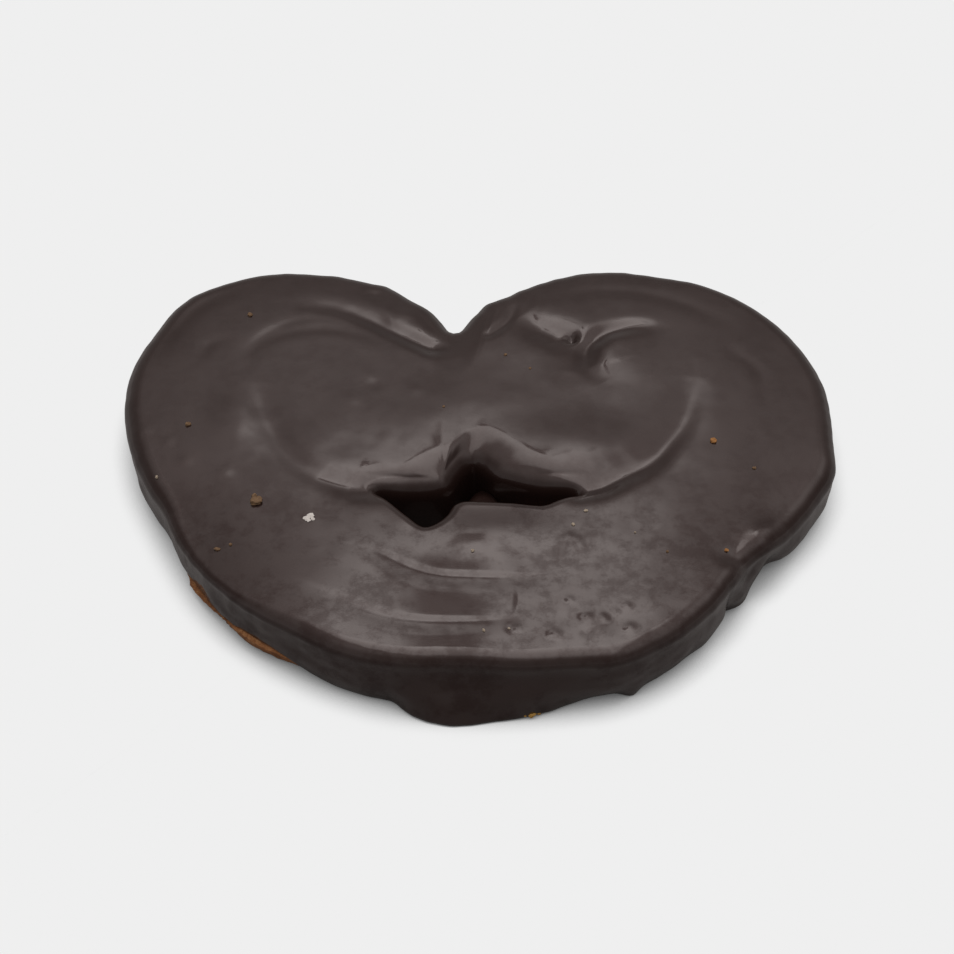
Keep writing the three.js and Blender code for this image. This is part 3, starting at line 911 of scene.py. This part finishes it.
def pastryMaterial():
    look = pastryLook
    material = bpy.data.materials.new("pastry")
    nodes = Nodes(material)
    blotch, flake = nodes.noise(*look["blotch"]), nodes.noise(*look["flake"])
    share = look["blotchShare"]
    stops = zip(look["stops"], (look["burnt"], look["baked"], look["pale"]))
    tone = nodes.ramp(blotch * share + flake * (1 - share), list(stops))
    shader = nodes.add(
        "ShaderNodeBsdfPrincipled",
        Base_Color=tone,
        Roughness=look["roughness"],
        Normal=nodes.bump(flake, *look["flakeBump"]),
    )
    nodes.output(shader)
    return material


chocolate, pastry = chocolateMaterial(), pastryMaterial()

outer = skinRows(coat["columns"], coat["rows"], False)
coatPiece = ringPiece("chocolateCoat", coatLoops(outer), chocolate)
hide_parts("chocolate_coat")
print("coat made,", len(coatPiece.data.polygons) * 2, "triangles")

body = {
    "columns": 400,
    "hiddenDrop": 0.4,
    "outwardSpan": 3,  # points to both sides
    "bare": [(219, 2.5, 14), (199, 2.6, 8)],
    "bareBelowEdge": 0.7,
    "leastKnee": 0.2,
    "sideRows": 10,
    "undersideRows": 54,
    "layers": 15,
    "layerDepth": 0.35,
    "layerSlope": 2.2,
    "layerWander": (0.5, 16),  # height, size
    "underRough": (0.12, 2.2),
    "underFade": 0.3,
    "flakes": 0.35,
    "flakeSize": 1.7,
    "flakeUpright": 2.5,
    "flakesEverywhere": 0.5,
    "cornerRound": 0.5,
}


# Loops of the side, from under the coat's edge down to the table.
def bareSide(angles, edge):
    out = outwards(edge[:, :2], body["outwardSpan"])
    knee = np.maximum(coatEdge(angles) - body["bareBelowEdge"], body["leastKnee"])
    bare = roundSum(body["bare"], angles)
    side = []
    for k in range(body["sideRows"] + 1):
        z = knee * (1 - k / body["sideRows"])
        place = np.stack([*edge[:, :2].T, z * body["flakeUpright"]], -1)
        often = np.minimum(1, bare + body["flakesEverywhere"])
        flaky = body["flakes"] * rumple.at(place, body["flakeSize"]) * often
        corner = body["cornerRound"] * np.maximum(0, 1 - z / body["cornerRound"]) ** 2
        reach = bare + tuckAt(angles, edge[:, 2]) - tuckAt(angles, z) + flaky - corner
        side.append(np.concatenate([edge[:, :2] + out * reach[:, None], z[:, None]], 1))
    return side


# Loops of the underside, from the rim to the gap, with the rolled layers showing faintly.
def underside(angles, rimLoop, gapLoop):
    wander, wanderSize = body["layerWander"]
    rough, roughSize = body["underRough"]
    under = []
    for k in range(1, body["undersideRows"]):
        share = k / body["undersideRows"]
        loop = blendTo(rimLoop, gapLoop, share)
        phase = share * body["layers"] + angles / (2 * math.pi)
        phase = phase + wander * rumple.at(loop[:, :2], wanderSize)
        groove = np.abs((phase % 1) - 0.5) * 2
        layer = body["layerDepth"] * smoothStep(1 - groove * body["layerSlope"])
        crumbly = rough * np.maximum(0, rumple.at(loop[:, :2], roughSize))
        loop[:, 2] = (layer + crumbly) * math.sin(math.pi * share) ** body["underFade"]
        under.append(loop)
    return under


def pastryLoops():
    angles = evenAngles(body["columns"])
    skin = hiddenSkin(body["columns"], body["hiddenDrop"], coat["clearance"])
    side = bareSide(angles, skin[0])
    hole = skin[-1].copy()
    hole[:, 2] = 0
    return [hole, *underside(angles, side[-1], hole)[::-1], *side[::-1], *skin]


pastryPiece = ringPiece("pastryBody", pastryLoops(), pastry)
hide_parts("pastry")
print("pastry made,", len(pastryPiece.data.polygons) * 2, "triangles")

# What all crumbs share
crumbShape = {
    "level": 3,
    "stretch": (0.7, 1.25),
    "bumps": 0.35,
    "bumpSize": 0.8,
    "bumpSpread": 1.3,
    "seedStep": 3.1,
    "sink": 0.35,
    "speckle": (0.0006, 3, 0.6),
    "speckleBump": (0.0002, 0.5),
    "roughness": 0.8,
}


def crumbMaterial(name, dark, pale):
    material = bpy.data.materials.new(name)
    nodes = Nodes(material)
    speckle = nodes.noise(*crumbShape["speckle"])
    shader = nodes.add(
        "ShaderNodeBsdfPrincipled",
        Base_Color=nodes.mixColour(speckle, dark, pale),
        Roughness=crumbShape["roughness"],
        Normal=nodes.bump(speckle, *crumbShape["speckleBump"]),
    )
    nodes.output(shader)
    return material


def makeBall(level):
    mesh = bpy.data.meshes.new("ball")
    work = bmesh.new()
    bmesh.ops.create_icosphere(work, subdivisions=level, radius=1)
    work.to_mesh(mesh)
    work.free()
    points = np.array([v.co for v in mesh.vertices])
    faces = np.array([p.vertices for p in mesh.polygons])
    bpy.data.meshes.remove(mesh)
    return points, faces


ballPoints, ballFaces = makeBall(crumbShape["level"])


def lump(seed, size, flatness):
    draw = np.random.default_rng(seed)
    shape = crumbShape
    stretch = draw.uniform(*shape["stretch"], 3) * (1, 1, flatness)
    place = ballPoints * shape["bumpSpread"] + seed * shape["seedStep"]
    bumpy = 1 + shape["bumps"] * rumple.at(place, shape["bumpSize"])
    turn = draw.uniform(0, 2 * math.pi)
    cos, sin = math.cos(turn), math.sin(turn)
    spun = np.array([[cos, -sin, 0], [sin, cos, 0], [0, 0, 1]])
    return (ballPoints * bumpy[:, None] * stretch * size) @ spun.T


# The height of the coat's nearest point.
def onTop(x, y):
    away = np.hypot(outer[..., 0] - x, outer[..., 1] - y)
    return float(outer[..., 2].flat[away.argmin()])


# Crumbs that stick to the coat: x, y, half size, how flat, and z where they aren't on top.
def makeCrumbs(name, look):
    points, faces = [], []
    for k, (x, y, size, flatness, *height) in enumerate(look["places"]):
        z = height[0] if height else onTop(x, y) + size * flatness * crumbShape["sink"]
        points.append(lump(look["seed"] + k, size, flatness) + (x, y, z))
        faces.extend((ballFaces + k * len(ballPoints)).tolist())
    material = crumbMaterial(look["material"], look["dark"], look["pale"])
    return makePiece(name, np.concatenate(points), faces, material, False)


brownCrumbs = {
    "material": "brownCrumb",
    "dark": (0.06, 0.03, 0.015),
    "pale": (0.3, 0.19, 0.1),
    "seed": 100,
    "places": [
        (-51, -16, 1.25, 0.8),
        (-51.6, -14.2, 0.5, 0.8),
        (-69, 10, 0.7, 0.7),
        (-57, 50.5, 0.7, 0.8),
        (7, 35, 0.35, 0.8),
        (13, 30, 0.3, 0.8),
        (-59, -30, 0.6, 0.7),
        (-56, -29, 0.4, 0.8),
        (-8, 15.5, 0.3, 0.8),
        (43, -32.5, 0.3, 0.8),
        (65, -5, 0.4, 0.7),
    ],
}
makeCrumbs("brownCrumbs", brownCrumbs)

orangeCrumbs = {
    "material": "orangeCrumb",
    "dark": (0.2, 0.08, 0.02),
    "pale": (0.5, 0.25, 0.08),
    "seed": 140,
    "places": [(56, 4, 0.8, 0.6), (56.5, -31.1, 0.4, 0.8)],
}
makeCrumbs("orangeCrumbs", orangeCrumbs)

paleSpecks = {
    "material": "paleSpeck",
    "dark": (0.25, 0.2, 0.14),
    "pale": (0.55, 0.48, 0.38),
    "seed": 160,
    "places": [
        (22, -24, 0.4, 0.8),
        (25, -19.5, 0.4, 0.8),
        (36, -26.5, 0.3, 0.8),
        (1.5, -56.5, 0.4, 0.7),
        (7, -56, 0.35, 0.7),
        (-1, -32.5, 0.4, 0.8),
        (-75, -6.8, 0.4, 0.7),
    ],
}
makeCrumbs("paleSpecks", paleSpecks)

whiteFlake = {
    "material": "whiteFlake",
    "dark": (0.55, 0.53, 0.5),
    "pale": (0.85, 0.83, 0.8),
    "seed": 180,
    "places": [
        (-39, -21.8, 0.7, 0.4),
        (-38.2, -21, 0.75, 0.45),
        (-37.6, -22, 0.55, 0.4),
        (-38.6, -22.4, 0.45, 0.4),
    ],
}
makeCrumbs("whiteFlake", whiteFlake)

yellowCrumb = {  # low on the pool's side
    "material": "yellowCrumb",
    "dark": (0.3, 0.14, 0.02),
    "pale": (0.7, 0.45, 0.12),
    "seed": 200,
    "places": [
        (10.4, -65.9, 0.9, 0.75, 1.2),
        (12.0, -65.7, 1.05, 0.75, 1.1),
        (13.5, -65.2, 0.8, 0.75, 0.9),
    ],
}
makeCrumbs("yellowCrumb", yellowCrumb)
print("crumbs made")

studio = {
    "pale": 0.863,
    "warm": (1, 0.925, 0.895),  # the light as the chocolate sees it
    "floorHalf": 6.0,
    "floorGlow": (0.2, 0.3),  # how bright the floor is to the chocolate, near and far off
    "floorFade": (0.08, 0.22),
    "gapPlace": (-0.005, -0.015, 0),
    "gapDark": (0.012, 0.03, 0.4),  # painted shade: the floor under the gap glows less
    # painted contact shadow: occlusion darkens the floor's glow near the chocolate
    "shadowSamples": 16,
    "shadowReach": 0.011,
    "shadowLean": (0.25, 0.45, 0.86),
    "shadowStops": [(0, 0.02), (0.2, 0.1), (0.42, 0.35), (0.62, 0.77), (0.74, 0.97), (0.82, 1)],
    # Where the overhead light is, on a plane one unit above the table: its back edge, then its
    # right and left edge, where they start, how far they open towards the front, and from where
    "horizon": 0.02,
    "boxLight": 1.95,
    "boxBack": (1.24, 0.8),  # from dark to full
    "boxFade": (0.85, 0.4, 0.3),  # from, to, how much dimmer
    "boxFront": (-1, 0),
    "boxRight": (0.135, 0.2, 0.93),
    "boxLeft": (0.11, 0.36, 0.95),
    "boxLeftMost": 0.3,
    "boxTurn": 0.5,
    "boxSoft": (0.06, 0.1),
    # bars in front of the light: left, right, softness of both edges, how dark, nearest, farthest
    "bars": [
        (-0.045, 0.004, 0.009, 0.002, 0.85, 0.87, 0.985),
        (-0.026, -0.001, 0.008, 0.004, 0.4, 0.985, 1.03),
        (0.028, 0.044, 0.004, 0.004, 0.4, 0.84, 0.92),
        (0.112, 0.135, 0.008, 0.003, 0.35, 0.84, 0.97),
    ],
    "barEnds": (0.05, 0.02),
    # the backdrop: where it starts, is in the middle, climbs and turns right, and its light low
    # down, high up, more in the middle high up, more to the right high up, and in the middle
    "wallFrom": (-0.1, 0.5),
    "wallMiddle": (0.0, 0.3),
    "wallClimb": (0.5, 0.75),
    "wallRight": (0.1, 0.5),
    "wallLight": (0.1, 0.14, 0.36, 0.2, 0.06),
    "ceiling": (0.5, 1, 0.4),  # from, to, light
    "rightGlow": (0.2, 0.7, 0.3, 0.8, 0.45),  # from and to on the right, from and to upwards, light
    "roomFrom": (-0.2, 0.4),
    "roomLeftFrom": (0, 0.5),
    "room": (0.12, 0.26, 0.42),  # all round, then behind the viewer, in the middle and to the left
}


def between(nodes, value, low, high, softLow, softHigh):
    above = nodes.smooth(value, low - softLow, low + softLow)
    return above * (1 - nodes.smooth(value, high - softHigh, high + softHigh))


# The overhead light: a slanted soft box that starts behind and reaches to the front right.
def boxShare(nodes, across, away):
    least, growing = studio["boxSoft"]
    soft = least + nodes.math("MAXIMUM", 0 - away, 0) * growing
    start, opening, since = studio["boxRight"]
    right = nodes.smooth((start + (since - away) * opening - across) / soft, -1, 1)
    start, opening, since = studio["boxLeft"]
    limit = nodes.math("MINIMUM", start + (since - away) * opening, studio["boxLeftMost"])
    turned = nodes.math("MINIMUM", away, 0) * studio["boxTurn"]
    left = nodes.smooth((across + limit + turned) / soft, -1, 1)
    dark, full = studio["boxBack"]
    back = nodes.smooth(dark - away, 0, dark - full)
    front = nodes.smooth(away, *studio["boxFront"])
    fadeStart, fadeEnd, dimmer = studio["boxFade"]
    fade = 1 - nodes.smooth(fadeStart - away, 0, fadeStart - fadeEnd) * dimmer
    return left * right * back * front * fade


# The backdrop, brightest straight behind, the ceiling, and a dim room in front.
def roomLight(nodes, right, back, up):
    low, high, highMiddle, highRight, allMiddle = studio["wallLight"]
    behind = nodes.smooth(back, *studio["wallFrom"])
    middle = 1 - nodes.smooth(abs(right), *studio["wallMiddle"])
    climb = nodes.smooth(up, *studio["wallClimb"])
    toRight = nodes.smooth(right, *studio["wallRight"])
    higher = climb * (high + middle * highMiddle + toRight * highRight)
    wall = behind * (low + higher + middle * allMiddle)
    start, end, bright = studio["ceiling"]
    ceiling = nodes.smooth(up, start, end) * bright
    start, end, low, high, bright = studio["rightGlow"]
    ceiling = ceiling + nodes.smooth(right, start, end) * nodes.smooth(up, low, high) * bright
    least, room, roomLeft = studio["room"]
    front = nodes.smooth(0 - back, *studio["roomFrom"])
    toLeft = nodes.smooth(0 - right, *studio["roomLeftFrom"])
    dim = least + front * (toLeft * (roomLeft - room) + (room - least))
    return dim + wall + ceiling


def studioWorld():
    world = bpy.data.worlds.new("studio")
    nodes = Nodes(world)
    direction = nodes.add("ShaderNodeTexCoord", out="Generated")
    split = nodes.add("ShaderNodeSeparateXYZ", None, direction).socket.node
    right, back, up = (Value(nodes, socket) for socket in split.outputs)
    height = nodes.math("MAXIMUM", up, studio["horizon"])
    across, away = right / height, back / height
    light = roomLight(nodes, right, back, up) + boxShare(nodes, across, away) * studio["boxLight"]
    nearSoft, farSoft = studio["barEnds"]
    for low, high, softLow, softHigh, dark, near, far in studio["bars"]:
        bar = between(nodes, across, low, high, softLow, softHigh)
        reach = nodes.smooth(far - away, 0, farSoft) * nodes.smooth(away, near - nearSoft, near)
        light = light * (1 - bar * reach * dark)
    toCamera = nodes.add("ShaderNodeLightPath", out="Is Camera Ray")
    strength = light * (1 - toCamera) + toCamera * studio["pale"]
    colour = nodes.mixColour(toCamera, studio["warm"], (1, 1, 1))
    shader = nodes.add("ShaderNodeBackground", None, nodes.scaled(colour, strength))
    nodes.output(shader, "ShaderNodeOutputWorld")
    return world


def floorMaterial():
    material = bpy.data.materials.new("floor")
    nodes = Nodes(material)
    settings = {"samples": studio["shadowSamples"]}
    lean = Vector(studio["shadowLean"]).normalized()
    reach = studio["shadowReach"]
    # painted contact shadow: the floor's glow follows this occlusion ramp
    openness = nodes.add("ShaderNodeAmbientOcclusion", settings, Distance=reach, Normal=lean, out="AO")
    shade = nodes.ramp(openness, [(at, (grey, grey, grey)) for at, grey in studio["shadowStops"]])
    place = nodes.add("ShaderNodeTexCoord", out="Object")
    distance = nodes.add("ShaderNodeVectorMath", {"operation": "LENGTH"}, place, out=1)
    near, far = studio["floorGlow"]
    glow = nodes.smooth(distance, *studio["floorFade"]) * (far - near) + near
    apart = {"operation": "DISTANCE"}
    fromGap = nodes.add("ShaderNodeVectorMath", apart, place, studio["gapPlace"], out=1)
    # painted shade: the floor's glow is dimmed around the middle of the gap
    start, end, least = studio["gapDark"]
    outside = nodes.smooth(fromGap, start, end) * (1 - least) + least
    toCamera = nodes.add("ShaderNodeLightPath", out="Is Camera Ray")
    strength = (toCamera * (studio["pale"] - glow) + glow) * outside
    tinted = nodes.add("ShaderNodeVectorMath", {"operation": "MULTIPLY"}, shade, studio["warm"])
    colour = nodes.mixColour(toCamera, tinted, shade)
    nodes.output(nodes.add("ShaderNodeEmission", None, nodes.scaled(colour, strength)))
    material.cycles.emission_sampling = "NONE"
    return material


def makeFloor():
    half = studio["floorHalf"]
    corners = [(-half, -half, 0), (half, -half, 0), (half, half, 0), (-half, half, 0)]
    mesh = bpy.data.meshes.new("floor")
    mesh.from_pydata(corners, [], [(0, 1, 2, 3)])
    floor = bpy.data.objects.new("floor", mesh)
    floor.data.materials.append(floorMaterial())
    bpy.context.scene.collection.objects.link(floor)


makeFloor()
scene = bpy.context.scene
scene.world = studioWorld()
scene.view_settings.view_transform = "Standard"
scene.view_settings.look = "None"
scene.cycles.use_denoising = True
print("floor and light made")
